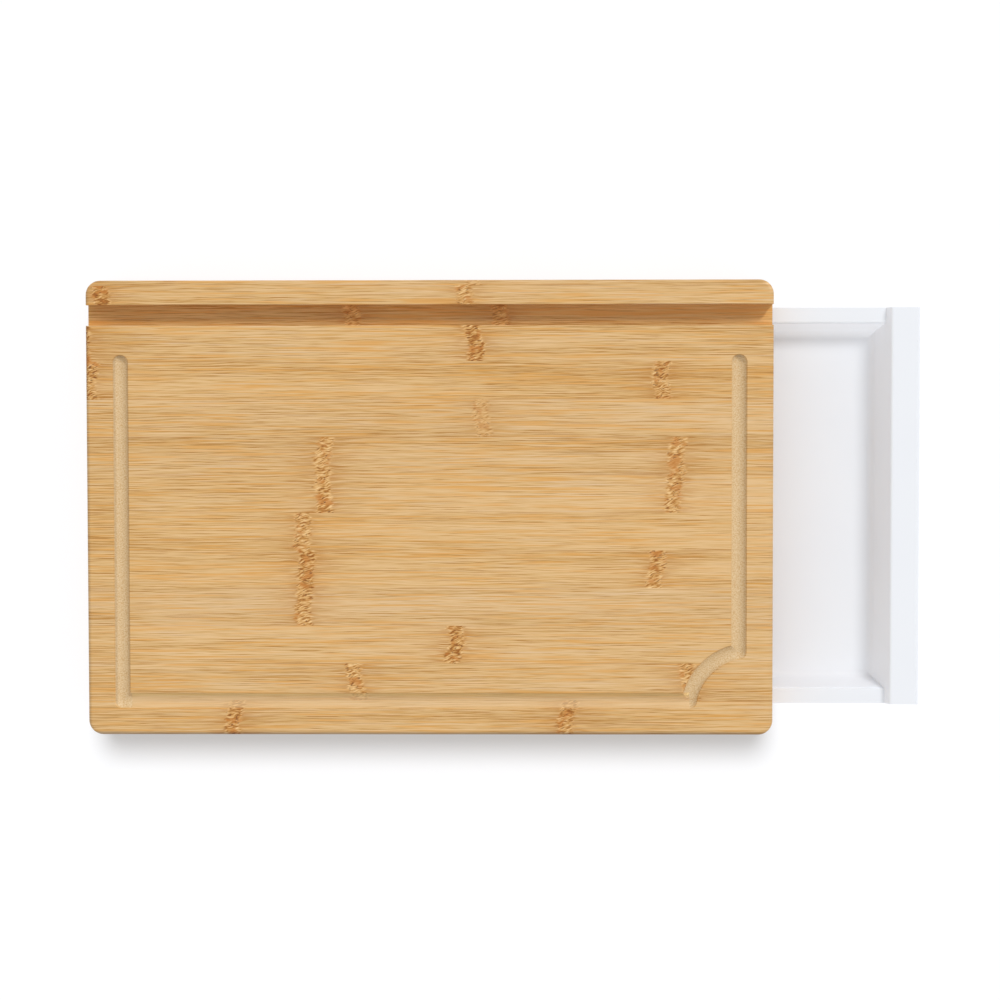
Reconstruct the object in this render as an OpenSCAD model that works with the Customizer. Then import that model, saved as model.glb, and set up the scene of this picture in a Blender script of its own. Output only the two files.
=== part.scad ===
// Bamboo cutting board with a tablet slot, a juice groove and a pull-out drawer.
// Millimetres. +X points to the drawer's pull, +Y to the tablet slot, +Z up.
// The origin lies on the table, under the middle of the object with its drawer as drawn.

/* [Cutting plate] */
// Length of the board, along the drawer
board_l = 380; // [340:1:440]
// Width of the board, front to rear
board_w = 252; // [230:1:290]
// Thickness of the cutting plate
plate_t = 17; // [16:0.5:22]
// Radius of the board's corners in plan
corner_r = 8; // [5:0.5:12]
// Rounding of the board's upper and lower edges
edge_r = 2; // [0.8:0.1:2.2]
// Rounding of the edges along the seam between the plate and the rails
seam_r = 0.6; // [0.3:0.1:1]

/* [Tablet slot] */
// Width of the slot
slot_w = 11.5; // [9:0.5:15]
// Depth of the slot
slot_d = 10; // [6:0.5:11]
// Width of the strip behind the slot
slot_back = 13.5; // [11:0.5:18]
// Eased edge along the slot's mouth
slot_ease = 0.3; // [0.2:0.1:1]

/* [Juice groove] */
// Width of the groove at the cutting surface
groove_w = 9; // [6:0.5:10]
// Depth of the groove
groove_d = 3; // [2:0.25:3.5]
// Distance from the groove's centreline to the side and front edges
groove_inset = 19; // [16:0.5:26]
// Distance from the slot to the groove's rear ends
groove_gap = 16; // [10:1:40]
// How much deeper the groove is at its ends and turns
groove_dwell = 0.05; // [0.03:0.01:0.1]
// Radius of the arc across the pouring corner
spout_r = 34.5; // [30:0.5:45]
// Distance from that arc's centre to the front and right edges
spout_inset = 12.5; // [8:0.5:15]

/* [Rails] */
// Height of the rails
rail_h = 25; // [24:0.5:32]
// Thickness of the rails outside the runner groove
rail_web = 14.5; // [13:0.5:20]
// Depth of the runner groove
runner_d = 6.5; // [5:0.5:9]
// Thickness of the end rail
end_rail_t = 14.5; // [13:0.5:20]

/* [Drawer] */
// How far the drawer stands out as drawn
drawer_open = 83; // [40:1:200]
// Depth of the tray, from its rim to its floor
tray_d = 15; // [10:0.5:15.5]
// Thickness of the tray's walls and floor
wall_t = 2; // [1.6:0.1:2.4]
// Thickness of the rim that runs in the rails
rim_t = 2.6; // [2:0.1:3.2]
// Slope of the tray's walls, in degrees from upright
wall_slope = 20; // [10:1:24]
// Rounding between the walls and the floor
floor_r = 5; // [3:0.5:6]
// Rounding of the rim's inner edge
rim_r = 1.4; // [0.5:0.1:1.8]
// Radius of the rim's corners at its hidden end
rim_corner_r = 4; // [2:0.5:6]
// Width of the pull's flat top
pull_w = 16; // [14:0.5:22]
// Height of the pull above the rim
pull_step = 6; // [4:0.5:7]
// Height of the pull's front face
pull_h = 16.5; // [13:0.5:18]
// Rounding of the pull's top edges
pull_r = 1.8; // [0.6:0.1:1.8]

/* [Clearances] */
// Side play of the rim in the runner groove
side_play = 0.5; // [0.3:0.1:0.8]
// Play under and over the rim in the runner groove
runner_play = 0.3; // [0.2:0.05:0.5]
// Gap between the tray's walls and the rails
wall_play = 1.1; // [0.6:0.1:2]
// Gap between the pull and the plate above it
pull_play = 0.5; // [0.3:0.1:1]
// Gap behind the drawer when it is shut
end_play = 1; // [0.5:0.1:2]
// Play of dowels and screws in their holes, on the radius
hole_play = 0.05; // [0.02:0.01:0.1]

/* [Dowels, feet and screws] */
// Diameter of the dowels
dowel_d = 6; // [5:0.5:8]
// Length of the dowels
dowel_l = 18; // [14:0.5:20]
// Room left past each end of a dowel
dowel_room = 0.5; // [0.3:0.1:1]
// Distance from the board's ends to the outer dowels
dowel_inset = 52; // [46:1:80]
// Distance between the end rail's two plate dowels
end_dowel_pitch = 140; // [80:1:160]
// Diameter of the rubber feet
foot_d = 14; // [12:0.5:16]
// Height of the rubber feet
foot_h = 4; // [3.5:0.25:6]
// Distance from the board's ends to the feet
foot_inset = 30; // [28:1:36]
// Rounding of the feet's lower edge
foot_r = 1; // [0.5:0.1:1.5]
// Diameter of the foot screws
screw_d = 3; // [2.5:0.25:4]
// Length of the foot screws
screw_l = 14; // [10:0.5:18]
// Diameter of the screw heads
screw_head_d = 6; // [5.5:0.25:7]
// Height of the screw heads
screw_head_h = 1.6; // [1.2:0.1:1.8]
// How far the screw heads sit above the table
screw_lift = 1; // [0.6:0.1:1.2]
// Eased edge of the screw heads
screw_dome = 0.6; // [0.3:0.1:0.8]
// Length of the screws' cross recess
cross_l = 3.6; // [3:0.2:4.4]
// Width of the screws' cross recess
cross_w = 1; // [0.8:0.1:1.2]
// Depth of the screws' cross recess
cross_d = 1; // [0.6:0.1:1.1]

/* [Hidden] */
$fn = 64;

bamboo = [0.84, 0.69, 0.47];
dowel_wood = [0.88, 0.78, 0.6];
white_plastic = [0.93, 0.93, 0.95];
rubber = [0.2, 0.2, 0.21];
steel = [0.7, 0.7, 0.72];

// Small overlap and overrun of cutting shapes
over = 1;
// Steps in a small rounded edge
arc_steps = 6;

// Edges of the board and the levels of its pieces
left_x = -(board_l + drawer_open) / 2;
right_x = left_x + board_l;
mid_x = (left_x + right_x) / 2;
rear_y = board_w / 2;
front_y = -rear_y;
rail_z = foot_h;
plate_z = rail_z + rail_h;
top_z = plate_z + plate_t;

// Juice groove: a ball-nosed cut
ball_r = (groove_w * groove_w / 4 + groove_d * groove_d) / (2 * groove_d);
ball_z = top_z + ball_r - groove_d;
groove_left = left_x + groove_inset;
groove_right = right_x - groove_inset;
groove_front = front_y + groove_inset;
groove_rear = rear_y - slot_back - slot_w - groove_gap - groove_w / 2;
spout_x = right_x - spout_inset;
spout_y = front_y + spout_inset;
spout_side = groove_inset - spout_inset;
spout_reach = sqrt(spout_r * spout_r - spout_side * spout_side);
spout_turn = asin(spout_side / spout_r);

// Rails
rail_w = rail_web + runner_d;
bay_y = rear_y - rail_w;
web_y = rear_y - rail_web;
end_rail_x = left_x + end_rail_t;

// Drawer
tray_w = 2 * (web_y - side_play);
tray_l = board_l - end_rail_t - end_play;
pull_x = right_x + drawer_open;
tray_x = pull_x - tray_l;
pull_z = plate_z - pull_play;
rim_z = pull_z - pull_step;
floor_z = rim_z - tray_d;
wall_across = wall_t / cos(wall_slope);
rim_w = runner_d - side_play + wall_play + wall_across - rim_t * tan(wall_slope);
cavity_y = tray_w / 2 - rim_w;
cavity_x0 = tray_x + rim_w;
pull_face_x = pull_x - pull_w;
cavity_x1 = pull_face_x - pull_step * tan(wall_slope);
mouth_l = pull_x - cavity_x1 + side_play;

// Places of dowels, feet and screws
dowel_y = rear_y - rail_web / 2;
dowel_x = [left_x + dowel_inset, mid_x, right_x - dowel_inset];
end_dowel_x = left_x + end_rail_t / 2;
corner_dowel_z = rail_z + rail_h / 2;
hole_r = dowel_d / 2 + hole_play;
hole_l = dowel_l + 2 * dowel_room;
foot_y = rear_y - rail_w / 2;
foot_x = [left_x + foot_inset, right_x - foot_inset];
screw_r = screw_d / 2;
head_r = screw_head_d / 2;

// Points along an arc about c, from angle a to angle b
function arc(c, r, a, b) =
    [for (i = [0 : arc_steps]) let (t = a + (b - a) * i / arc_steps) c + r * [cos(t), sin(t)]];

// Turns a drawing in Y and Z into a bar along X, from x0 to x1
module along_x(x0, x1) {
    translate([x0, 0, 0])
        rotate([90, 0, 90])
            linear_extrude(x1 - x0)
                children();
}

// Turns a drawing in X and Z into a bar along Y, from y0 to y1
module along_y(y0, y1) {
    translate([0, y1, 0])
        rotate([90, 0, 0])
            linear_extrude(y1 - y0)
                children();
}

// Edge of a slab at u, thickness t, towards dir, with its lower and upper corners rounded
module slab_edge(u, dir, t, low_r, high_r) {
    inner = u - dir * corner_r;
    translate([min(u, inner), low_r])
        square([corner_r, t - low_r - high_r]);
    for (corner = [[low_r, low_r], [high_r, t - high_r]]) {
        r = corner[0];
        translate([min(u - dir * r, inner), corner[1] - r])
            square([corner_r - r, 2 * r]);
        translate([u - dir * r, corner[1]])
            circle(r);
    }
}

// Drawing of a slab between u0 and u1, with both edges rounded
module slab_section(u0, u1, t, low_r, high_r) {
    slab_edge(u0, -1, t, low_r, high_r);
    slab_edge(u1, 1, t, low_r, high_r);
    translate([u0 + corner_r, 0])
        square([u1 - u0 - 2 * corner_r, t]);
}

// Slab of the board's outline with its corners and edges rounded, from level z up
module board_slab(z, t, low_r, high_r) {
    translate([0, 0, z]) {
        along_x(left_x + corner_r, right_x - corner_r)
            slab_section(front_y, rear_y, t, low_r, high_r);
        along_y(front_y + corner_r, rear_y - corner_r)
            slab_section(left_x, right_x, t, low_r, high_r);
        for (x = [left_x + corner_r, right_x - corner_r], y = [front_y + corner_r, rear_y - corner_r])
            translate([x, y, 0])
                rotate_extrude()
                    slab_edge(corner_r, 1, t, low_r, high_r);
    }
}

// Slot with eased edges, as long as the board
module tablet_slot() {
    y0 = rear_y - slot_back - slot_w;
    y1 = rear_y - slot_back;
    z0 = top_z - slot_d;
    z1 = top_z - slot_ease;
    along_x(left_x - over, right_x + over)
        polygon([
            [y0, z0], [y1, z0], [y1, z1], [y1 + slot_ease + over, top_z + over],
            [y0 - slot_ease - over, top_z + over], [y0, z1]
        ]);
}

// Straight run of the juice groove, from p to q
module groove_run(p, q) {
    turn = atan2(q[1] - p[1], q[0] - p[0]);
    translate([p[0], p[1], ball_z])
        rotate([0, 90, turn])
            cylinder(r = ball_r, h = norm(q - p));
}

// Ball that ends or turns a run, where the cutter dwells
module groove_ball(p) {
    translate([p[0], p[1], ball_z])
        sphere(ball_r + groove_dwell);
}

// Groove along three sides, with an arc across the pouring corner
module juice_groove() {
    left_end = [groove_left, groove_rear];
    left_turn = [groove_left, groove_front];
    spout_front = [spout_x - spout_reach, groove_front];
    spout_rear = [groove_right, spout_y + spout_reach];
    right_end = [groove_right, groove_rear];
    groove_run(left_end, left_turn);
    groove_run(left_turn, spout_front);
    groove_run(spout_rear, right_end);
    for (p = [left_end, left_turn, spout_front, spout_rear, right_end])
        groove_ball(p);
    translate([spout_x, spout_y, ball_z])
        rotate([0, 0, 90 + spout_turn])
            rotate_extrude(angle = 90 - 2 * spout_turn)
                translate([spout_r, 0])
                    circle(ball_r);
}

// Puts a piece at each dowel between the plate and the rails
module at_plate_dowels() {
    for (x = dowel_x, y = [-dowel_y, dowel_y])
        translate([x, y, plate_z])
            children();
    for (y = [-end_dowel_pitch / 2, end_dowel_pitch / 2])
        translate([end_dowel_x, y, plate_z])
            children();
}

// Puts a piece at each dowel between the long rails and the end rail
module at_corner_dowels() {
    for (side = [-1, 1])
        translate([end_dowel_x, side * bay_y, corner_dowel_z])
            rotate([90, 0, 0])
                children();
}

// Puts a piece at each foot
module at_feet() {
    for (x = foot_x, y = [-foot_y, foot_y])
        translate([x, y, 0])
            children();
}

// Hole for a dowel, half in each of the two pieces that it joins
module dowel_hole() {
    cylinder(r = hole_r, h = hole_l, center = true);
}

// Dowel with chamfered ends, about its middle
module dowel() {
    r = dowel_d / 2;
    c = dowel_room;
    h = dowel_l / 2;
    rotate_extrude()
        polygon([[0, -h], [r - c, -h], [r, c - h], [r, h - c], [r - c, h], [0, h]]);
}

// Pilot hole of a foot screw
module screw_hole() {
    cylinder(r = screw_r + hole_play, h = screw_lift + screw_head_h + screw_l + dowel_room);
}

// Laminated plate with the tablet slot and the juice groove
module cutting_plate() {
    color(bamboo)
        difference() {
            board_slab(plate_z, plate_t, seam_r, edge_r);
            tablet_slot();
            juice_groove();
            at_plate_dowels() dowel_hole();
        }
}

// Long rail at the rear (side 1) or at the front (side -1)
module long_rail(side) {
    groove_z = rim_z - rim_t - runner_play;
    groove_h = rim_t + 2 * runner_play;
    color(bamboo)
        difference() {
            intersection() {
                board_slab(rail_z, rail_h, edge_r, seam_r);
                translate([left_x - over, side > 0 ? bay_y : front_y - over, rail_z - over])
                    cube([board_l + 2 * over, rail_w + over, rail_h + 2 * over]);
            }
            // Runner groove, from the mouth to the end rail
            translate([end_rail_x, side > 0 ? bay_y - over : -web_y, groove_z])
                cube([board_l, runner_d + over, groove_h]);
            // Cut back at the mouth, where the pull closes
            translate([right_x - mouth_l, side > 0 ? bay_y - over : -web_y, rail_z - over])
                cube([mouth_l + over, runner_d + over, rail_h + 2 * over]);
            at_plate_dowels() dowel_hole();
            at_corner_dowels() dowel_hole();
            at_feet() screw_hole();
        }
}

module front_rail() {
    long_rail(-1);
}

module rear_rail() {
    long_rail(1);
}

// Rail that closes the end away from the pull
module end_rail() {
    color(bamboo)
        difference() {
            intersection() {
                board_slab(rail_z, rail_h, edge_r, seam_r);
                translate([left_x - over, -bay_y, rail_z - over])
                    cube([end_rail_t + over, 2 * bay_y, rail_h + 2 * over]);
            }
            at_plate_dowels() dowel_hole();
            at_corner_dowels() dowel_hole();
        }
}

module plate_dowels() {
    color(dowel_wood)
        at_plate_dowels() dowel();
}

module corner_dowels() {
    color(dowel_wood)
        at_corner_dowels() dowel();
}

// Rubber foot with a recess for its screw
module foot(x, y) {
    r = foot_d / 2;
    seat_z = screw_lift + screw_head_h;
    recess_r = head_r + runner_play;
    bore_r = screw_r + hole_play;
    color(rubber)
        translate([x, y, 0])
            rotate_extrude()
                polygon(concat(
                    [[bore_r, foot_h], [bore_r, seat_z], [recess_r, seat_z], [recess_r, 0]],
                    arc([r - foot_r, foot_r], foot_r, -90, 0),
                    [[r, foot_h]]
                ));
}

module foot_front_left() {
    foot(foot_x[0], -foot_y);
}

module foot_front_right() {
    foot(foot_x[1], -foot_y);
}

module foot_rear_left() {
    foot(foot_x[0], foot_y);
}

module foot_rear_right() {
    foot(foot_x[1], foot_y);
}

// Pan-head screws with a cross recess, pointing up into the rails
module foot_screws() {
    tip_l = screw_d;
    seat_z = screw_lift + screw_head_h;
    color(steel)
        at_feet()
            difference() {
                rotate_extrude()
                    polygon([
                        [0, screw_lift], [head_r - screw_dome, screw_lift],
                        [head_r, screw_lift + screw_dome],
                        [head_r, seat_z], [screw_r, seat_z], [screw_r, seat_z + screw_l - tip_l],
                        [0, seat_z + screw_l]
                    ]);
                for (turn = [0, 90])
                    rotate([0, 0, turn])
                        translate([-cross_l / 2, -cross_w / 2, screw_lift - over])
                            cube([cross_l, cross_w, cross_d + over]);
            }
}

// Drawing of a trough between u0 and u1 at level v1, with sloping sides and a rounded floor at v0
module trough(u0, u1, v0, v1, r) {
    run = (v1 - v0) * tan(wall_slope);
    t = r * tan((90 - wall_slope) / 2);
    a = u0 + run + t;
    b = u1 - run - t;
    out = t * (1 + sin(wall_slope));
    up = t * cos(wall_slope);
    polygon([[a, v0], [b, v0], [b + out, v0 + up], [u1, v1], [u0, v1], [a - out, v0 + up]]);
    for (u = [a, b])
        translate([u, v0 + r])
            circle(r);
}

// Drawing of the space over the rim's inner edge at u, towards dir, with that edge rounded
module rim_flare(u, dir, reach) {
    t = rim_r * tan((90 - wall_slope) / 2);
    foot_u = u - dir * t * sin(wall_slope);
    foot_v = rim_z - t * cos(wall_slope);
    edge = arc([u + dir * t, rim_z - rim_r], rim_r, 90, 90 + dir * (90 - wall_slope));
    polygon(concat(
        edge,
        [[foot_u - dir * over, foot_v], [foot_u - dir * over, pull_z + over]],
        [[u + dir * reach, pull_z + over], [u + dir * reach, rim_z]]
    ));
}

// Inside of the tray across its width
module cavity_across() {
    trough(-cavity_y, cavity_y, floor_z, rim_z, floor_r);
    translate([-cavity_y, rim_z - rim_r])
        square([2 * cavity_y, pull_step + rim_r + over]);
    rim_flare(cavity_y, 1, rim_w + over);
    rim_flare(-cavity_y, -1, rim_w + over);
}

// Inside of the tray along its length, up the face of the pull
module cavity_along() {
    lean = tan(wall_slope);
    t = pull_r * tan((90 - wall_slope) / 2);
    edge = arc([pull_face_x + t, pull_z - pull_r], pull_r, 180 - wall_slope, 90);
    trough(cavity_x0, cavity_x1, floor_z, rim_z, floor_r);
    polygon(concat(
        [[cavity_x0, rim_z - rim_r], [cavity_x1 - rim_r * lean, rim_z - rim_r]],
        edge,
        [[pull_face_x + t, pull_z + over], [cavity_x0, pull_z + over]]
    ));
    rim_flare(cavity_x0, -1, rim_w + over);
}

// Outside of the tray's walls and floor, up to the middle of the rim
module tray_bowl() {
    bottom_z = floor_z - wall_t;
    brim_z = rim_z - rim_t / 2;
    brim = wall_across - rim_t / 2 * tan(wall_slope);
    intersection() {
        along_x(tray_x, pull_x)
            trough(-cavity_y - brim, cavity_y + brim, bottom_z, brim_z, floor_r + wall_t);
        along_y(-tray_w / 2, tray_w / 2)
            trough(cavity_x0 - brim, cavity_x1 + brim, bottom_z, brim_z, floor_r + wall_t);
    }
}

// Rim all round the tray, left thick on top for the inside to be cut from it
module tray_rim() {
    r = rim_corner_r;
    half = tray_w / 2;
    translate([0, 0, rim_z - rim_t])
        linear_extrude(rim_t + over) {
            translate([tray_x + r, -half])
                square([cavity_x1 + wall_t / 2 - tray_x - r, tray_w]);
            translate([tray_x, r - half])
                square([rim_w, tray_w - 2 * r]);
            for (y = [r - half, half - r])
                translate([tray_x + r, y])
                    circle(r);
        }
}

// Pull: the end wall carried up, a flat top, and a front face to hook the fingers behind
module tray_pull() {
    lean = tan(wall_slope);
    low_z = pull_z - pull_h;
    rim_low_z = rim_z - rim_t;
    cap_z = pull_z - wall_t;
    face_low_x = pull_face_x - (pull_z - rim_low_z) * lean;
    face_cap_x = pull_face_x - wall_t * lean;
    half = tray_w / 2;
    along_y(-half, half)
        polygon(concat(
            [[face_low_x - over, rim_low_z], [pull_face_x - over, pull_z]],
            arc([pull_x - pull_r, pull_z - pull_r], pull_r, 90, 0),
            [[pull_x, low_z], [pull_x - wall_t, low_z], [pull_x - wall_t, cap_z]],
            [[face_cap_x + wall_across, cap_z], [face_low_x + wall_across, rim_low_z]]
        ));
    // Cheeks that close the pull's two ends
    for (y = [-half, half - wall_t])
        along_y(y, y + wall_t)
            polygon([
                [cavity_x1 + wall_across / 2, low_z], [cavity_x1 + wall_across / 2, rim_z],
                [pull_face_x + wall_across / 2, cap_z + wall_t / 2],
                [pull_x - wall_t / 2, cap_z + wall_t / 2], [pull_x - wall_t / 2, low_z]
            ]);
}

module drawer_tray() {
    color(white_plastic)
        difference() {
            union() {
                tray_bowl();
                tray_rim();
                tray_pull();
            }
            intersection() {
                along_x(tray_x - over, pull_x)
                    cavity_across();
                along_y(-tray_w / 2 - over, tray_w / 2 + over)
                    cavity_along();
            }
        }
}

cutting_plate();
front_rail();
rear_rail();
end_rail();
plate_dowels();
corner_dowels();
foot_front_left();
foot_front_right();
foot_rear_left();
foot_rear_right();
foot_screws();
drawer_tray();
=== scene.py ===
"""Looks of a bamboo cutting board with a tablet slot and a white tray that slides out of one end.

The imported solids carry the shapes. This script gives each of them its finish, and sets up the camera,
the lamps and the floor. Lengths of the finishes are in millimetres, lengths of the scene in metres.
"""
from __future__ import annotations

import logging
import math
from dataclasses import dataclass
from enum import Enum
from typing import Any, Optional, Sequence, Union

import bpy
from mathutils import Euler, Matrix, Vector

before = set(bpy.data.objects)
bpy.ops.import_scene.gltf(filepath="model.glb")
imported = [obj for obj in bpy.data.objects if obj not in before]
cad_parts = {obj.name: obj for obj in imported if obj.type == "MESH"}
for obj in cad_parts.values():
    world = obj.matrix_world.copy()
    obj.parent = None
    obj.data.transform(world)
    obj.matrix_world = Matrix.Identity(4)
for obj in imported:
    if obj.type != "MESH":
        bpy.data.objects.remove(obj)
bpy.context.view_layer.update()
MM = 0.001
WHITE = (1.0, 1.0, 1.0, 1.0)
MIRRORED = (1.0, 1.0, -1.0)
NOISE_MIDDLE = 0.5
SMOOTH, SOFT, PLAIN, BUSY = 0.0, 1.0, 2.0, 3.0  # finer octaves of a noise
HALF_STEP = 0.5  # from a whole number to the border between it and the next
RAMP_ROWS = 32  # the most stops that a colour ramp takes
CHANNELS = 3
MIX_FACTOR, MIX_FIRST, MIX_SECOND, MIX_RESULT = 0, 6, 7, 2  # sockets of a Mix node for colours
LOG = logging.getLogger("cutting_board")

Number = Union[int, float]
Span = tuple[float, float]
Triple = tuple[float, float, float]
Colour = tuple[float, float, float, float]
Stops = tuple[tuple[float, Triple], ...]
Scale = Sequence[tuple[float, Sequence[float]]]
KnuckleRow = tuple[tuple[float, float], ...]
Operand = Union["Wire", Number]


def tint(red: Number, green: Number, blue: Number) -> Colour:
    """Turn a colour as seen on a screen, 0 to 255, into the linear colour that the shaders take."""
    def linear(level: Number) -> float:
        """Undo the screen's curve for one channel."""
        share = level / 255
        return share / 12.92 if share <= 0.04045 else ((share + 0.055) / 1.055) ** 2.4
    return linear(red), linear(green), linear(blue), 1.0


def tints(stops: Stops) -> Scale:
    """Turn a scale of colours as seen on a screen into one that a ramp takes."""
    return [(place, tint(*level)) for place, level in stops]


def opaque(levels: Triple) -> Colour:
    """Add the fourth number that a colour socket takes to three linear levels."""
    return levels + (1.0,)


def even(size: float) -> Triple:
    """The same size along each axis."""
    return size, size, size


class Axis(Enum):
    """The way that the fibres of a piece run in the shared frame."""

    ALONG_X = 0
    ALONG_Y = 1


class Wire:
    """A socket that takes part in Python expressions, which add Math nodes to its graph."""

    def __init__(self, graph: "Graph", socket: Optional[bpy.types.NodeSocket]) -> None:
        """Keep the socket and the graph that it belongs to."""
        self.graph = graph
        self.socket = socket

    def __add__(self, other: Operand) -> "Wire":
        """Sum."""
        return self.graph.maths("ADD", self, other)

    __radd__ = __add__

    def __sub__(self, other: Operand) -> "Wire":
        """Difference."""
        return self.graph.maths("SUBTRACT", self, other)

    def __rsub__(self, other: Operand) -> "Wire":
        """Difference, the other way round."""
        return self.graph.maths("SUBTRACT", other, self)

    def __mul__(self, other: Operand) -> "Wire":
        """Product."""
        return self.graph.maths("MULTIPLY", self, other)

    __rmul__ = __mul__

    def __truediv__(self, other: Operand) -> "Wire":
        """Quotient."""
        return self.graph.maths("DIVIDE", self, other)

    def __rtruediv__(self, other: Operand) -> "Wire":
        """Quotient, the other way round."""
        return self.graph.maths("DIVIDE", other, self)

    def __abs__(self) -> "Wire":
        """Size without its sign."""
        return self.graph.maths("ABSOLUTE", self)

    def floor(self) -> "Wire":
        """Whole number below."""
        return self.graph.maths("FLOOR", self)

    def at_most(self, other: Operand) -> "Wire":
        """The smaller of the two."""
        return self.graph.maths("MINIMUM", self, other)

    def at_least(self, other: Operand) -> "Wire":
        """The larger of the two."""
        return self.graph.maths("MAXIMUM", self, other)

    def below(self, other: Operand) -> "Wire":
        """One where this is under the other, zero elsewhere."""
        return self.graph.maths("LESS_THAN", self, other)

    def step(self, low: float, high: float) -> "Wire":
        """Rise smoothly from 0 at low to 1 at high, or fall where high is under low."""
        return self.graph.node("ShaderNodeMapRange", {"interpolation_type": "SMOOTHSTEP"},
                               {"Value": self, "From Min": low, "From Max": high})


class Graph:
    """The node tree of one material or of the world, which every node of it comes from."""

    def __init__(self, owner: Union[bpy.types.Material, bpy.types.World]) -> None:
        """Start an empty node tree.

        Args:
            owner: the material or world that the tree is for.
        """
        self.owner = owner
        owner.use_nodes = True
        self.tree = owner.node_tree
        self.tree.nodes.clear()

    @classmethod
    def of_material(cls, name: str) -> "Graph":
        """Start a new material."""
        return cls(bpy.data.materials.new(name))

    def node(self, kind: str, settings: Optional[dict[str, Any]] = None,
             inputs: Optional[dict[Union[str, int], Any]] = None, out: Union[str, int] = 0) -> Wire:
        """Add one node.

        Args:
            kind: the node's type.
            settings: its own options, set before its sockets. Those of a colour ramp are "ramp", for its
                kind, and "stops".
            inputs: values, or wires, for its sockets by name or place.
            out: the output that is wanted.

        Returns:
            The wire from that output, which an end node doesn't have.
        """
        made = self.tree.nodes.new(kind)
        for key, setting in (settings or {}).items():
            if key == "stops":
                self.fill_ramp(made.color_ramp, setting)
            elif key == "ramp":
                made.color_ramp.interpolation = setting
            else:
                setattr(made, key, setting)
        for key, given in (inputs or {}).items():
            if isinstance(given, Wire):
                self.tree.links.new(given.socket, made.inputs[key])
            else:
                made.inputs[key].default_value = given
        return Wire(self, made.outputs[out] if made.outputs else None)

    @staticmethod
    def fill_ramp(ramp: bpy.types.ColorRamp, stops: Scale) -> None:
        """Give a ramp its stops, each a place and a colour."""
        while len(ramp.elements) < len(stops):
            ramp.elements.new(1.0)
        for element, (place, colour) in zip(ramp.elements, stops):
            element.position = place
            element.color = tuple(colour)

    def maths(self, operation: str, first: Operand, second: Optional[Operand] = None) -> Wire:
        """Add a Math node."""
        inputs: dict[Union[str, int], Any] = {0: first}
        if second is not None:
            inputs[1] = second
        return self.node("ShaderNodeMath", {"operation": operation}, inputs)

    def place(self) -> Wire:
        """The point on the piece, in millimetres of the shared frame."""
        found = self.node("ShaderNodeTexCoord", out="Object")
        return self.scaled(found, even(1 / MM))

    def scaled(self, vector: Wire, by: Triple) -> Wire:
        """Stretch a vector along its axes."""
        return self.node("ShaderNodeVectorMath", {"operation": "MULTIPLY"}, {0: vector, 1: by})

    def split(self, vector: Wire) -> tuple[Wire, Wire, Wire]:
        """The three numbers of a vector."""
        return self.parts("ShaderNodeSeparateXYZ", vector)

    def split_colour(self, colour: Wire) -> tuple[Wire, Wire, Wire]:
        """The three channels of a colour."""
        return self.parts("ShaderNodeSeparateColor", colour)

    def parts(self, kind: str, whole: Wire) -> tuple[Wire, Wire, Wire]:
        """The three outputs of a node that takes something apart."""
        first, second, third = self.node(kind, inputs={0: whole}).socket.node.outputs
        return Wire(self, first), Wire(self, second), Wire(self, third)

    def joined(self, x: Operand, y: Operand, z: Operand) -> Wire:
        """A vector made of three numbers."""
        return self.node("ShaderNodeCombineXYZ", inputs={0: x, 1: y, 2: z})

    def noise(self, vector: Wire, size: Triple, detail: float = PLAIN, roughness: float = 0.5) -> Wire:
        """Soft noise whose blotches have the given size along each axis.

        Args:
            vector: the point to look up.
            size: length, width and height of one blotch, in the vector's unit.
            detail: how many finer octaves are added.
            roughness: how strong they are.

        Returns:
            The noise, about 0.5 on average.
        """
        found = self.scaled(vector, (1 / size[0], 1 / size[1], 1 / size[2]))
        inputs = {"Vector": found, "Scale": 1.0, "Detail": detail, "Roughness": roughness}
        return self.node("ShaderNodeTexNoise", {"noise_dimensions": "3D"}, inputs, "Fac")

    def swing(self, vector: Wire, size: Triple, detail: float = SOFT, roughness: float = 0.5) -> Wire:
        """The same noise, but about 0 on average."""
        return self.noise(vector, size, detail, roughness) - NOISE_MIDDLE

    def chance(self, x: Operand, y: Operand, z: Operand) -> tuple[Wire, Wire, Wire]:
        """Three fixed random numbers for a cell."""
        colour = self.node("ShaderNodeTexWhiteNoise", {"noise_dimensions": "3D"},
                           {"Vector": self.joined(x, y, z)}, "Color")
        return self.split_colour(colour)

    def ramp(self, factor: Wire, stops: Scale, kind: str = "LINEAR") -> Wire:
        """Colours along a scale."""
        return self.node("ShaderNodeValToRGB", {"ramp": kind, "stops": stops}, {"Fac": factor}, "Color")

    def mix(self, first: Any, second: Any, factor: Operand, blend: str = "MIX") -> Wire:
        """Blend two colours.

        Args:
            first: the colour where factor is 0.
            second: the colour laid over it.
            factor: how much of the second.
            blend: how the second is laid over the first.

        Returns:
            The blended colour.
        """
        return self.node("ShaderNodeMix", {"data_type": "RGBA", "blend_type": blend, "clamp_factor": True},
                         {MIX_FACTOR: factor, MIX_FIRST: first, MIX_SECOND: second}, MIX_RESULT)

    def times(self, colour: Wire, by: Triple, factor: Operand) -> Wire:
        """Multiply a colour by three levels, as far as factor says."""
        return self.mix(colour, opaque(by), factor, "MULTIPLY")

    def bump(self, height: Wire, depth: float, strength: float = 1.0) -> Wire:
        """A surface normal from a height of 0 to 1 that stands for depth millimetres."""
        return self.node("ShaderNodeBump",
                         inputs={"Height": height, "Distance": depth * MM, "Strength": strength})

    def surface(self, inputs: dict[Union[str, int], Any]) -> bpy.types.Material:
        """Finish the material with one shader.

        Args:
            inputs: values, or wires, for the shader's sockets.

        Returns:
            The material.
        """
        return self.end(self.node("ShaderNodeBsdfPrincipled", inputs=inputs))

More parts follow.
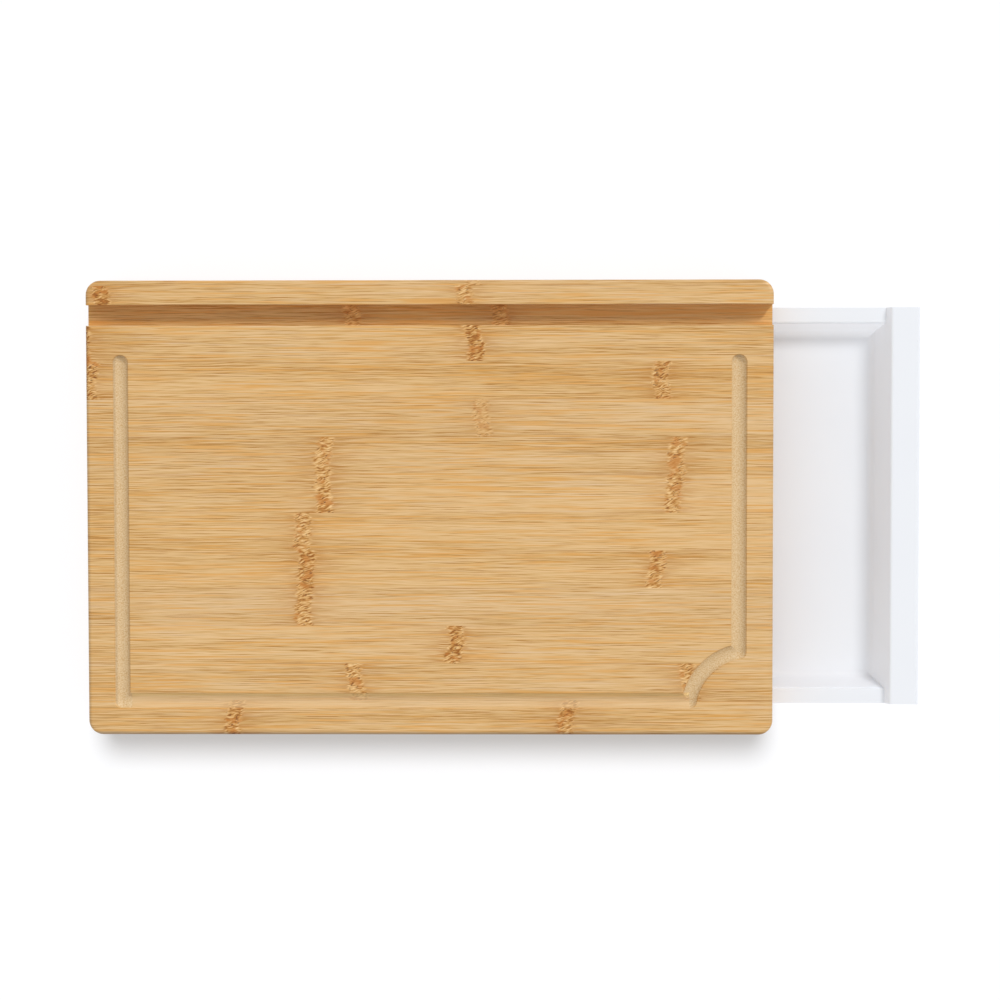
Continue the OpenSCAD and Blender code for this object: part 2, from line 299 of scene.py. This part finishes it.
    def end(self, shader: Wire) -> Union[bpy.types.Material, bpy.types.World]:
        """Lead a shader to the tree's output."""
        ending = "World" if isinstance(self.owner, bpy.types.World) else "Material"
        self.node("ShaderNodeOutput" + ending, inputs={"Surface": shader})
        return self.owner


@dataclass(frozen=True)
class Grain:
    """The fibres of bamboo: how they bend, and the tones along them.

    Sizes are along the fibres, across them and up. Weights are shares of the scale of tones.
    """

    drift_size: Triple = (110.0, 16.0, 16.0)
    drift_by: float = 1.2
    swirl_size: Triple = (11.0, 5.0, 5.0)
    swirl_by: float = 2.6
    slat_start: float = 700.0
    slat_gap: float = 41.0
    layer_gap: float = 17.0
    bundle_gap: float = 5.37
    bundle_gap_up: float = 3.71
    bundle_up: float = 0.13
    bundle_roughness: float = 0.55
    broad_size: Triple = (300.0, 11.0, 11.0)
    broad_roughness: float = 0.6
    streak_l: float = 90.0
    streak_w: float = 1.25
    glow_l: float = 60.0
    glow_w: float = 0.8
    line_l: float = 25.0
    line_w: float = 0.3
    line_gap: float = 0.55
    line_edge: float = 0.15
    middle: float = 0.54
    broad_weight: float = 1.05
    streak_weight: float = 0.3
    line_weight: float = 3.4
    slat_weight: float = 0.25
    flare_weight: float = 0.08
    line_relief: float = 0.8
    streak_relief: float = 0.5

    def fibre(self, g: Graph, spot: Wire, slat: Wire, layer: Wire, start: Wire, flare: Wire,
              ceiling: float) -> Wire:
        """Follow the bent fibres, which are those of another cane in each slat.

        Args:
            g: the graph to add to.
            spot: the point, with its place along the fibres first.
            slat: the slat's number in its layer.
            layer: the layer's number, from the top.
            start: where in its cane the slat begins, 0 to 1.
            flare: how near a knuckle is.
            ceiling: the height above which the grain stays the same, which carries it over rounded edges.

        Returns:
            The point along the bent fibres.
        """
        along, across, up = g.split(spot)
        drift = g.swing(spot, self.drift_size)
        swirl = g.swing(spot, self.swirl_size)
        bent = across + drift * self.drift_by + swirl * flare * self.swirl_by + slat * self.slat_gap
        return g.joined(along + start * self.slat_start, bent, up.at_most(ceiling) + layer * self.layer_gap)

    def tone(self, g: Graph, fibre: Wire, shade: Wire, flare: Wire) -> tuple[Wire, Wire]:
        """Add up the tone of the grain.

        Args:
            g: the graph to add to.
            fibre: the point, along the bent fibres.
            shade: the slat's own tone, 0 to 1.
            flare: how near a knuckle is.

        Returns:
            The tone, from dark at 0 to light at 1, and the height of the lines.
        """
        broad = g.swing(fibre, self.broad_size, roughness=self.broad_roughness)
        streak = self.bundles(g, fibre, self.streak_l, self.streak_w) - NOISE_MIDDLE
        line = self.lines(g, fibre)
        tone = self.middle + broad * self.broad_weight + streak * self.streak_weight
        tone = tone + line * self.line_weight + (shade - NOISE_MIDDLE) * self.slat_weight
        tone = tone - flare * self.flare_weight
        return tone, line * self.line_relief + streak * self.streak_relief

    def glow(self, g: Graph, fibre: Wire) -> Wire:
        """Bundles that lean to orange where they are high, and to a cooler hue where they are low."""
        return self.bundles(g, g.scaled(fibre, MIRRORED), self.glow_l, self.glow_w)

    def lines(self, g: Graph, fibre: Wire) -> Wire:
        """Fine lines along the fibres, each set off from those on both sides of it, about 0 on average."""
        run, side, depth = g.split(fibre)
        left, right = (self.bundles(g, g.joined(run, side + off, depth), self.line_l, self.line_w)
                       for off in (-self.line_gap, self.line_gap))
        line = self.bundles(g, fibre, self.line_l, self.line_w) - NOISE_MIDDLE
        return line - (left + right - 2 * NOISE_MIDDLE) * self.line_edge

    def bundles(self, g: Graph, fibre: Wire, length: float, width: float) -> Wire:
        """Noise that runs along bundles of fibres, each with a tone of its own.

        Args:
            g: the graph to add to.
            fibre: the point, along the bent fibres.
            length: how far a tone lasts along the bundle.
            width: how wide and high a bundle is.

        Returns:
            The noise, about 0.5 on average.
        """
        along, across, up = g.split(fibre)
        cell = g.joined(along / length, (across / width).floor() * self.bundle_gap,
                        ((up + self.bundle_up) / width).floor() * self.bundle_gap_up)
        return g.noise(cell, even(1.0), roughness=self.bundle_roughness)


@dataclass(frozen=True)
class Knuckles:
    """The dark bands where the cane had its joints.

    Each row gives them for one slat, as the place along the fibres and the strength. The rows are those of
    the top layer, from the first slat on, and then one for each layer below. Stagger spreads the bands of
    the lower slats that only the underside shows. Sizes are along the fibres, across them and up.
    """

    rows: tuple[KnuckleRow, ...]
    top_rows: int = 1
    stagger: float = 0.0
    staggered_slats: int = 11
    stagger_seed: float = 7.0
    reach: float = 256.0
    length: float = 9.0
    fade_out: float = 1.2
    fade_in: float = 1.4
    flare_reach: float = 9.0
    sway_size: Triple = (400.0, 16.0, 16.0)
    sway_by: float = 8.0
    ragged_size: Triple = (9.0, 0.8, 0.8)
    ragged_by: float = 6.0
    smear_size: Triple = (14.0, 0.6, 0.6)
    smear_span: Span = (0.4, 0.57)
    smear_share: float = 0.9
    patch_size: Triple = (6.0, 4.0, 4.0)
    patch_span: Span = (0.52, 0.68)
    patch_share: float = 0.7
    bend_size: Triple = (4.0, 3.0, 3.0)
    bend_by: float = 2.0
    slant: float = 0.25
    stroke_size: Triple = (3.4, 0.66, 0.66)
    stroke_usual: float = 0.85
    stroke_least: float = 0.76
    stroke_by: float = 0.5
    cover: float = 1.1
    pit_size: Triple = (1.8, 0.8, 0.8)
    pit_span: Span = (0.6, 0.7)
    pit_share: float = 0.8
    rust: Triple = (184, 122, 48)
    amber: Triple = (198, 126, 50)
    pit: Triple = (112, 62, 10)
    torn: Stops = (
        (0.32, (152, 88, 10)), (0.43, (190, 132, 58)), (0.51, (213, 162, 94)), (0.6, (228, 182, 118)),
        (0.7, (243, 203, 144)))

    def ramps(self) -> tuple[Scale, Scale]:
        """Places and strengths as two scales, with a stop for each row and a channel for each band."""
        padded = [row + ((self.reach, 0.0),) * (CHANNELS - len(row)) for row in self.rows]
        places = [(index / RAMP_ROWS, tuple((at + self.reach) / (2 * self.reach) for at, _ in row) + (1.0,))
                  for index, row in enumerate(padded)]
        powers = [(index / RAMP_ROWS, tuple(power for _, power in row) + (1.0,))
                  for index, row in enumerate(padded)]
        return places, powers

    def masks(self, g: Graph, spot: Wire, slat: Wire, layer: Wire) -> tuple[Wire, Wire]:
        """Where the knuckles are.

        Args:
            g: the graph to add to.
            spot: the point, with its place along the fibres first.
            slat: the slat's number in its layer.
            layer: the layer's number, from the top.

        Returns:
            The bands themselves, and the flare on both sides of them.
        """
        along = g.split(spot)[0]
        top = layer.below(HALF_STEP)
        row = slat * top + (1.0 - top) * (layer + (self.top_rows - 1.0))
        spots, strengths = (g.split_colour(g.ramp((row + HALF_STEP) / RAMP_ROWS, stops, "CONSTANT"))
                            for stops in self.ramps())
        hidden = (1.0 - top) * slat.below(self.staggered_slats - HALF_STEP) * self.stagger
        moved = (g.chance(slat, layer, self.stagger_seed)[0] - NOISE_MIDDLE) * hidden
        sway = g.swing(spot, self.sway_size, SMOOTH) * self.sway_by + moved
        ragged = g.swing(spot, self.ragged_size) * self.ragged_by
        band: Optional[Wire] = None
        flare: Optional[Wire] = None
        for place, strength in zip(spots, strengths):
            gap = abs(along - (place * (2 * self.reach) - self.reach) + sway + ragged)
            inside = gap.step(self.length / 2 + self.fade_out, self.length / 2 - self.fade_in) * strength
            away = gap / self.flare_reach
            around = strength / (1.0 + away * away)
            band = inside if band is None else band.at_least(inside)
            flare = around if flare is None else flare.at_least(around)
        return band, flare

    def colours(self, g: Graph, colour: Wire, spot: Wire, fibre: Wire, band: Wire,
                flare: Wire) -> tuple[Wire, Wire]:
        """Lay the knuckles over the grain.

        Args:
            g: the graph to add to.
            colour: the grain's colour.
            spot: the point, with its place along the fibres first.
            fibre: the same point, along the bent fibres.
            band: where the knuckles are.
            flare: what lies on both sides of them.

        Returns:
            The colour with the knuckles in it, and their dark pits alone.
        """
        along, across, up = g.split(spot)
        smear = g.noise(fibre, self.smear_size, SOFT)
        patch = g.noise(spot, self.patch_size, SOFT)
        bend = g.swing(spot, self.bend_size, SMOOTH)
        curled = g.joined(along, across - along * self.slant + bend * self.bend_by, up)
        darker = (band.at_least(self.stroke_least) - self.stroke_usual) * self.stroke_by
        stroke = g.noise(curled, self.stroke_size, SOFT) - darker
        pit = g.noise(g.scaled(curled, MIRRORED), self.pit_size, SOFT)
        colour = g.mix(colour, tint(*self.rust), smear.step(*self.smear_span) * flare * self.smear_share)
        torn = g.ramp(stroke, tints(self.torn))
        torn = g.mix(torn, tint(*self.amber), patch.step(*self.patch_span) * self.patch_share)
        colour = g.mix(colour, torn, band * self.cover)
        pits = pit.step(*self.pit_span) * band
        return g.mix(colour, tint(*self.pit), pits * self.pit_share), pits


@dataclass(frozen=True)
class PlateCuts:
    """The tones of the plate's juice groove, slot and edges, some of them painted shade and painted light.

    Places are in the shared frame. A span goes from where a tone begins to where it is full.
    """

    middle_x: float = -41.5
    longer: float = 64.0
    end_span: Span = (-180.0, -231.5)
    end_shade: float = 0.13
    # Painted shade: the rounded top edges are darkened, fully along the front edge, which turns away from
    # the light, and by edge_share along the others.
    edge_span: Span = (123.4, 125.6)
    edge_share: float = 0.3
    front_edge_span: Span = (-123.2, -125.9)
    upper_span: Span = (43.6, 44.6)
    # Multiplier for painted shade on the rounded top edges and at the groove's top ends, and for a darker
    # strip along the left run's left side.
    painted_shade_tone: Triple = (0.5, 0.5, 0.55)
    groove_y: float = -13.0
    groove_half_l: float = 184.0
    groove_half_w: float = 105.0
    sunk_span: Span = (45.95, 44.4)
    above_span: Span = (40.0, 41.0)
    front_run_x: float = -52.5
    front_run_y: float = -102.5
    front_run_half_l: float = 155.0
    cut_share: float = 0.92
    front_run_grain: float = 0.42
    front_run_smooth: float = 0.85
    sawn_size: Triple = (0.8, 0.6, 0.8)
    machined: Stops = ((0.3, (203, 167, 116)), (0.48, (216, 187, 142)), (0.7, (226, 201, 160)))
    wall_rear_span: Span = (-102.4, -103.2)
    wall_front_span: Span = (-105.3, -104.1)
    wall_foot_span: Span = (42.0, 42.5)
    # Painted light: lightens the rear wall of the groove's front run, which lies in shade.
    painted_wall_light: Triple = (1.15, 1.22, 1.14)
    run_end_y: float = 84.4
    run_end_span: Span = (1.6, 0.5)
    left_side_x: float = -216.4
    left_side_span: Span = (1.5, 0.4)
    left_side_share: float = 0.7
    # Strength of the painted shade at the groove's top ends and of the darker strip along the left run.
    groove_shade_share: float = 0.5
    slot_y: float = 106.75
    slot_half_w: float = 6.0
    slot_end_span: Span = (190.0, 172.0)
    painted_slot_shade_span: Span = (112.5, 103.5)
    # Painted shade: darkens the slot's floor towards its front, but not at its open ends, so that it looks
    # evenly lit.
    painted_slot_shade: Triple = (0.86, 0.89, 0.95)

    def end_tone(self, x: Wire, layer: Wire) -> Wire:
        """How much darker the top is towards the end away from the drawer."""
        return x.step(*self.end_span) * layer.below(HALF_STEP) * self.end_shade

    def groove_masks(self, x: Wire, y: Wire, z: Wire) -> tuple[Wire, Wire]:
        """How plain the cutter left the groove, mostly across the fibres, and where its front run is."""
        sunk = z.step(*self.sunk_span) * z.step(*self.above_span)
        inside = abs(x - self.middle_x).below(self.groove_half_l)
        inside = inside * abs(y - self.groove_y).below(self.groove_half_w)
        front_run = y.below(self.front_run_y) * abs(x - self.front_run_x).below(self.front_run_half_l)
        return sunk * inside * (self.cut_share - front_run * self.front_run_grain), front_run

    def dress(self, g: Graph, colour: Wire, x: Wire, y: Wire, z: Wire, layer: Wire) -> tuple[Wire, Wire]:
        """Lay the tones of the cuts and edges over the bamboo, with painted shade and painted light among
        them.

        Args:
            g: the graph to add to.
            colour: the bamboo's colour.
            x: the place along the plate.
            y: the place across it.
            z: the height.
            layer: the layer's number, from the top.

        Returns:
            The colour with the cuts in it, and where the groove is.
        """
        groove, front_run = self.groove_masks(x, y, z)
        rough_cut = 1.0 - front_run * self.front_run_smooth
        sawn = g.swing(g.joined(x, y, z), self.sawn_size) * rough_cut + NOISE_MIDDLE
        colour = g.mix(colour, g.ramp(sawn, tints(self.machined)), groove)
        # Painted light: the rear wall of the front run is lightened.
        wall = y.step(*self.wall_rear_span) * y.step(*self.wall_front_span)
        colour = g.times(colour, self.painted_wall_light, wall * front_run * z.step(*self.wall_foot_span))
        # Painted shade at the groove's top ends, plus a darker strip along the left run's left side.
        run_ends = abs(y - self.run_end_y).step(*self.run_end_span)
        left_side = abs(x - self.left_side_x).step(*self.left_side_span)
        groove_shade_and_left_strip = (run_ends + left_side * self.left_side_share) * groove
        # Painted shade on the rounded top edges, strongest at the front.
        edge = (abs(x - self.middle_x) - self.longer).at_least(abs(y)).step(*self.edge_span)
        glue_strength_and_edge_shade = y.step(*self.front_edge_span).at_least(edge * self.edge_share) * z.step(*self.upper_span)
        colour = g.times(colour, self.painted_shade_tone, groove_shade_and_left_strip * self.groove_shade_share + glue_strength_and_edge_shade)
        # Painted shade across the slot's floor, growing towards the front.
        in_slot = layer.at_most(1.0) * abs(y - self.slot_y).below(self.slot_half_w)
        in_slot = in_slot * abs(x - self.middle_x).step(*self.slot_end_span)
        return g.times(colour, self.painted_slot_shade, y.step(*self.painted_slot_shade_span) * in_slot), groove


@dataclass(frozen=True)
class Bamboo:
    """Sanded and oiled bamboo, glued up from slats in layers."""

    name: str
    knuckles: Knuckles
    runs: Axis = Axis.ALONG_X
    grain: Grain = Grain()
    cuts: Optional[PlateCuts] = None
    first_joint: float = 0.0
    slat_w: float = 20.93
    slat_seed: float = 3.0
    top_z: float = 46.0
    layer_t: float = 5.67
    layer_shift: float = 0.43
    eased: float = 2.2
    tones: Stops = (
        (0.0, (184, 131, 62)), (0.18, (202, 156, 90)), (0.37, (214, 171, 108)), (0.5, (219, 178, 118)),
        (0.63, (223, 183, 125)), (0.82, (228, 188, 132)), (1.0, (232, 193, 139)))
    orange: Triple = (224, 164, 82)
    orange_span: Span = (0.5, 0.68)
    orange_share: float = 0.75
    cool: Triple = (0.95, 0.99, 1.14)
    cool_span: Span = (0.46, 0.28)
    cool_slats: float = 0.4
    cool_spread: float = 0.8
    lower_tone: Triple = (1.02, 0.91, 0.67)
    brown: Triple = (178, 124, 66)
    seam_size: Triple = (60.0, 0.6, 1.0)
    seam_worn_span: Span = (0.42, 0.62)
    seam_span: Span = (0.4, 0.1)
    seam_share: float = 0.55
    seam_depth: float = 0.4
    pit_depth: float = 0.2
    relief: float = 0.05
    relief_strength: float = 0.5
    roughness: float = 0.56
    light_gloss: float = 0.1
    knuckle_roughness: float = 0.1
    groove_roughness: float = 0.1

    def material(self) -> bpy.types.Material:
        """Make the material of this bamboo."""
        g = Graph.of_material(self.name)
        x, y, z = g.split(g.place())
        along, across = (x, y) if self.runs is Axis.ALONG_X else (y, x)
        layer = ((self.top_z - z) / self.layer_t).at_least(0.0).floor()
        seat = (across - self.first_joint + layer * (self.layer_shift * self.slat_w)) / self.slat_w
        slat = seat.floor()
        start, shade, hue = g.chance(slat, layer, self.slat_seed)
        spot = g.joined(along, across, z)
        band, flare = self.knuckles.masks(g, spot, slat, layer)
        fibre = self.grain.fibre(g, spot, slat, layer, start, flare, self.top_z - self.eased)
        tone, lines = self.grain.tone(g, fibre, shade, flare)
        if self.cuts:
            tone = tone - self.cuts.end_tone(x, layer)
        colour = self.hues(g, tone, self.grain.glow(g, fibre), hue)
        seam = self.seam_mask(g, seat, along)
        colour = g.mix(colour, tint(*self.brown), seam * self.seam_share)
        colour, pits = self.knuckles.colours(g, colour, spot, fibre, band, flare)
        colour = g.times(colour, self.lower_tone, layer.at_most(1.0))
        rough = self.roughness - tone * self.light_gloss + band * self.knuckle_roughness
        if self.cuts:
            colour, groove = self.cuts.dress(g, colour, x, y, z, layer)
            rough = rough + groove * self.groove_roughness
        height = lines - pits * self.pit_depth - seam * self.seam_depth
        return g.surface({"Base Color": colour, "Roughness": rough,
                          "Normal": g.bump(height, self.relief, self.relief_strength)})

    def hues(self, g: Graph, tone: Wire, glow: Wire, hue: Wire) -> Wire:
        """Colour the grain.

        Args:
            g: the graph to add to.
            tone: the grain's tone.
            glow: bundles with a hue of their own.
            hue: the slat's own hue, 0 to 1.

        Returns:
            The colour.
        """
        colour = g.ramp(tone, tints(self.tones))
        colour = g.mix(colour, tint(*self.orange), glow.step(*self.orange_span) * self.orange_share)
        cooler = glow.step(*self.cool_span) + (hue - self.cool_slats) * self.cool_spread
        return g.times(colour, self.cool, cooler)

    def seam_mask(self, g: Graph, seat: Wire, along: Wire) -> Wire:
        """The fine glue line on both sides of a slat, stronger in some places than in others."""
        off = abs(seat - (seat + HALF_STEP).floor()) * self.slat_w
        glue_strength_and_edge_shade = g.noise(g.joined(along, seat, 0.0), self.seam_size, SOFT).step(*self.seam_worn_span)
        return off.step(*self.seam_span) * glue_strength_and_edge_shade


@dataclass(frozen=True)
class Plastic:
    """Satin white moulded plastic."""

    name: str
    colour: Triple = (241, 244, 249)
    shade: Triple = (238, 241, 247)
    cloud: float = 60.0
    cloud_span: Span = (0.35, 0.75)
    cloud_share: float = 0.5
    roughness: float = 0.42
    roughness_spread: float = 0.12
    grain: float = 0.45
    relief: float = 0.012
    relief_strength: float = 0.4

    def material(self) -> bpy.types.Material:
        """Make the plastic's material."""
        g = Graph.of_material(self.name)
        at = g.place()
        cloud = g.noise(at, even(self.cloud))
        grain = g.noise(at, even(self.grain))
        clouded = cloud.step(*self.cloud_span) * self.cloud_share
        return g.surface({"Base Color": g.mix(tint(*self.colour), tint(*self.shade), clouded),
                          "Roughness": self.roughness + (cloud - NOISE_MIDDLE) * self.roughness_spread,
                          "Normal": g.bump(grain, self.relief, self.relief_strength)})


@dataclass(frozen=True)
class Rubber:
    """Matt dark rubber."""

    name: str
    colour: Triple = (46, 46, 47)
    bloom_colour: Triple = (66, 65, 64)
    bloom: float = 5.0
    bloom_span: Span = (0.4, 0.7)
    roughness: float = 0.72
    roughness_spread: float = 0.15
    pores: float = 0.3
    relief: float = 0.02
    relief_strength: float = 0.5

    def material(self) -> bpy.types.Material:
        """Make the rubber's material."""
        g = Graph.of_material(self.name)
        at = g.place()
        bloom = g.noise(at, even(self.bloom), BUSY)
        pores = g.noise(at, even(self.pores), SOFT)
        colour = g.mix(tint(*self.colour), tint(*self.bloom_colour), bloom.step(*self.bloom_span))
        return g.surface({"Base Color": colour, "Roughness": self.roughness + bloom * self.roughness_spread,
                          "Normal": g.bump(pores, self.relief, self.relief_strength)})


@dataclass(frozen=True)
class Zinc:
    """Zinc-plated steel."""

    name: str
    colour: Triple = (196, 198, 202)
    haze_colour: Triple = (168, 170, 176)
    haze: float = 1.6
    haze_span: Span = (0.35, 0.7)
    roughness: float = 0.28
    roughness_spread: float = 0.2
    relief: float = 0.01
    relief_strength: float = 0.3

    def material(self) -> bpy.types.Material:
        """Make the plating's material."""
        g = Graph.of_material(self.name)
        haze = g.noise(g.place(), even(self.haze), BUSY)
        colour = g.mix(tint(*self.colour), tint(*self.haze_colour), haze.step(*self.haze_span))
        return g.surface({"Base Color": colour, "Metallic": 1.0,
                          "Roughness": self.roughness + haze * self.roughness_spread,
                          "Normal": g.bump(haze, self.relief, self.relief_strength)})


@dataclass(frozen=True)
class TurnedWood:
    """Plain turned wood of the dowels."""

    name: str
    grain_size: Triple = (0.7, 0.7, 14.0)
    tones: Stops = ((0.3, (196, 158, 112)), (0.7, (224, 194, 150)))
    roughness: float = 0.62
    roughness_spread: float = 0.1
    relief: float = 0.03
    relief_strength: float = 0.5

    def material(self) -> bpy.types.Material:
        """Make the dowels' material."""
        g = Graph.of_material(self.name)
        grain = g.noise(g.place(), self.grain_size)
        return g.surface({"Base Color": g.ramp(grain, tints(self.tones)),
                          "Roughness": self.roughness + grain * self.roughness_spread,
                          "Normal": g.bump(grain, self.relief, self.relief_strength)})


def dress(node: str, material: bpy.types.Material) -> None:
    """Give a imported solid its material.

    Args:
        node: the solid's name.
        material: what to put in its slots.
    """
    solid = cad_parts[node]
    for holder in solid.material_slots:
        holder.material = material
    LOG.info("%s: %s", node, material.name)


@dataclass
class CuttingPlate:
    """The board's top plate of three layers of slats."""

    first_joint: float = -128.03
    top_rows: int = 13
    stagger: float = 260.0

    def build(self) -> None:
        """Dress the plate."""
        knuckles = Knuckles(self.knuckle_rows(), self.top_rows, self.stagger)
        bamboo = Bamboo("bamboo_plate", knuckles, cuts=PlateCuts(), first_joint=self.first_joint)
        dress("cutting_plate", bamboo.material())

    @staticmethod
    def knuckle_rows() -> tuple[KnuckleRow, ...]:
        """Knuckles of the top slats from the front to the rear, then of the two layers below."""
        return (
            ((-149.5, 0.95), (34.5, 0.9)),
            ((-82.5, 0.85), (102.5, 0.8)),
            ((-28.5, 0.95),),
            ((-112.0, 0.85),),
            ((-110.5, 0.95), (84.0, 0.85)),
            ((-113.0, 0.8),),
            ((-100.5, 0.9), (93.0, 0.84)),
            ((-99.5, 0.82), (95.5, 0.8)),
            ((-12.5, 0.5),),
            ((87.5, 0.85), (-229.0, 0.9)),
            ((-17.5, 1.0), (-233.5, 1.0)),
            ((-222.5, 1.0), (-21.5, 0.8)),
            ((-16.0, 0.6),),
            ((-84.5, 0.8), (-2.5, 0.8)),
            ((-160.5, 0.8), (69.5, 0.8)),
        )


@dataclass
class RailFrame:
    """The two long rails, the end rail and the dowels between them.

    A rail is two strips high and has no glue lines across it, so its slat is set wider than any rail.
    """

    rail_top: float = 29.0
    strip_h: float = 12.5
    slat_w: float = 400.0
    long_joint: float = -200.0
    end_joint: float = -400.0
    front_rows: tuple[KnuckleRow, ...] = (((-140.0, 0.9), (62.0, 0.8)), ((-40.0, 0.9), (120.0, 0.8)))
    rear_rows: tuple[KnuckleRow, ...] = (((-60.0, 0.9), (110.0, 0.8)), ((-170.0, 0.9), (20.0, 0.8)))
    end_rows: tuple[KnuckleRow, ...] = (((-70.0, 0.9), (90.0, 0.7)), ((30.0, 0.9),))

    def build(self) -> None:
        """Dress the rails and dowels."""
        self.dress_rail("front_rail", self.front_rows, Axis.ALONG_X, self.long_joint)
        self.dress_rail("rear_rail", self.rear_rows, Axis.ALONG_X, self.long_joint)
        self.dress_rail("end_rail", self.end_rows, Axis.ALONG_Y, self.end_joint)
        turned = TurnedWood("turned_dowel").material()
        for node in ("plate_dowels", "corner_dowels"):
            dress(node, turned)

    def dress_rail(self, node: str, rows: tuple[KnuckleRow, ...], runs: Axis, joint: float) -> None:
        """Dress one rail.

        Args:
            node: the rail's name.
            rows: its knuckles, strip by strip from the top.
            runs: the way that its fibres run.
            joint: where its slat begins.
        """
        bamboo = Bamboo("bamboo_" + node, Knuckles(rows), runs, first_joint=joint, slat_w=self.slat_w,
                        top_z=self.rail_top, layer_t=self.strip_h)
        dress(node, bamboo.material())


@dataclass
class Feet:
    """Four rubber feet and their screws."""

    corners: tuple[str, ...] = ("front_left", "front_right", "rear_left", "rear_right")

    def build(self) -> None:
        """Dress the feet and screws."""
        rubber = Rubber("foot_rubber").material()
        for corner in self.corners:
            dress("foot_" + corner, rubber)
        dress("foot_screws", Zinc("zinc_screw").material())


@dataclass
class DrawerTray:
    """The white tray with its pull."""

    finish: Plastic = Plastic("white_tray")

    def build(self) -> None:
        """Dress the tray."""
        dress("drawer_tray", self.finish.material())


@dataclass(frozen=True)
class Lamp:
    """One soft lamp, far away.

    It stands in the direction towards, looks spread degrees wide, and adds share to a white level surface.
    """

    name: str
    towards: Triple
    spread: float
    share: float
    shadow: bool = True

    def build(self) -> bpy.types.Object:
        """Set the lamp up."""
        data = bpy.data.lights.new(self.name, "SUN")
        data.angle = math.radians(self.spread)
        data.energy = self.share * math.pi / self.towards[2]
        data.use_shadow = self.shadow
        holder = bpy.data.objects.new(self.name, data)
        holder.rotation_euler = Vector(self.towards).to_track_quat("Z", "Y").to_euler()
        bpy.context.scene.collection.objects.link(holder)
        LOG.info("lamp %s", self.name)
        return holder


@dataclass
class Studio:
    """Camera, lamps, floor and world."""

    eye: Triple = (0.0204, 0.0696, 1.45)
    turn: Triple = (-2.653, 0.928, -0.08)
    lens: float = 91.53
    sensor: float = 36.0
    sight: float = 100.0
    key: Lamp = Lamp("key", (0.468, 0.599, 0.651), 8.5, 0.325)
    tray_key: Lamp = Lamp("tray_key", (0.45, 0.585, 0.675), 16.0, 0.28)
    floor_lamp: Lamp = Lamp("floor_lamp", (0.0, 0.363, 0.932), 22.0, 1.36)
    tray_fill: Lamp = Lamp("tray_fill", (-0.4, -0.9, 0.2), 20.0, 0.06, False)
    sky_share: float = 0.64
    floor_side: float = 8.0
    floor_glow: float = 0.38
    floor_white: Triple = (0.512, 0.52, 0.538)

    def build(self) -> None:
        """Set up everything around the object."""
        self.camera()
        self.world()
        floor = self.floor()
        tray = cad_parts["drawer_tray"]
        self.key.build().light_linking.receiver_collection = self.only((floor, tray), "EXCLUDE")
        for soft in (self.tray_key, self.tray_fill):
            soft.build().light_linking.receiver_collection = self.only((tray,), "INCLUDE")
        beam = self.floor_lamp.build().light_linking
        beam.receiver_collection = self.only((floor,), "INCLUDE")
        beam.blocker_collection = self.only((tray,), "EXCLUDE")

    def camera(self) -> None:
        """Look down at the board from where the photograph was taken."""
        data = bpy.data.cameras.new("camera")
        data.lens = self.lens
        data.sensor_width = self.sensor
        data.clip_end = self.sight
        holder = bpy.data.objects.new("camera", data)
        holder.location = self.eye
        holder.rotation_euler = Euler([math.radians(angle) for angle in self.turn], "XYZ")
        bpy.context.scene.collection.objects.link(holder)
        bpy.context.scene.camera = holder
        LOG.info("camera")

    @staticmethod
    def only(things: Sequence[bpy.types.Object], state: str) -> bpy.types.Collection:
        """Name the things that a lamp lights alone, or leaves out.

        Args:
            things: the things.
            state: INCLUDE or EXCLUDE.

        Returns:
            A collection for the lamp.
        """
        lit = bpy.data.collections.new(state.lower())
        for thing in things:
            lit.objects.link(thing)
        for member in lit.collection_objects:
            member.light_linking.link_state = state
        return lit

    def world(self) -> None:
        """Even light from all round, seen as white by the camera and in reflections."""
        world = bpy.data.worlds.new("studio")
        bpy.context.scene.world = world
        g = Graph(world)
        level = self.sky_share + self.seen(g) * (1.0 - self.sky_share)
        g.end(g.node("ShaderNodeBackground", inputs={"Color": WHITE, "Strength": level}))

    @staticmethod
    def seen(g: Graph) -> Wire:
        """One where the camera looks, straight or by way of a reflection or glass, zero for other light."""
        camera, glossy, through = (g.node("ShaderNodeLightPath", out=f"Is {kind} Ray")
                                   for kind in ("Camera", "Glossy", "Transmission"))
        return camera.at_least(glossy).at_least(through)

    def floor(self) -> bpy.types.Object:
        """Lay a white floor that keeps the object's shadow.

        Returns:
            The floor.
        """
        half = self.floor_side / 2
        mesh = bpy.data.meshes.new("floor")
        corners = [(-half, -half, 0.0), (half, -half, 0.0), (half, half, 0.0), (-half, half, 0.0)]
        mesh.from_pydata(corners, [], [tuple(range(len(corners)))])
        floor = bpy.data.objects.new("floor", mesh)
        bpy.context.scene.collection.objects.link(floor)
        g = Graph.of_material("floor_white")
        matt = g.node("ShaderNodeBsdfDiffuse", inputs={"Color": opaque(self.floor_white)})
        glow = g.node("ShaderNodeEmission", inputs={"Color": WHITE, "Strength": 1.0})
        mesh.materials.append(g.end(g.node("ShaderNodeMixShader", inputs={
            0: self.seen(g) * self.floor_glow, 1: matt, 2: glow})))
        LOG.info("floor")
        return floor


def main() -> None:
    """Dress the object piece by piece and set it in the studio."""
    logging.basicConfig(level=logging.INFO, format="%(name)s: %(message)s")
    bpy.context.scene.view_settings.view_transform = "Standard"
    for assembly in (Studio(), CuttingPlate(), RailFrame(), Feet(), DrawerTray()):
        assembly.build()


if __name__ == "__main__":
    main()
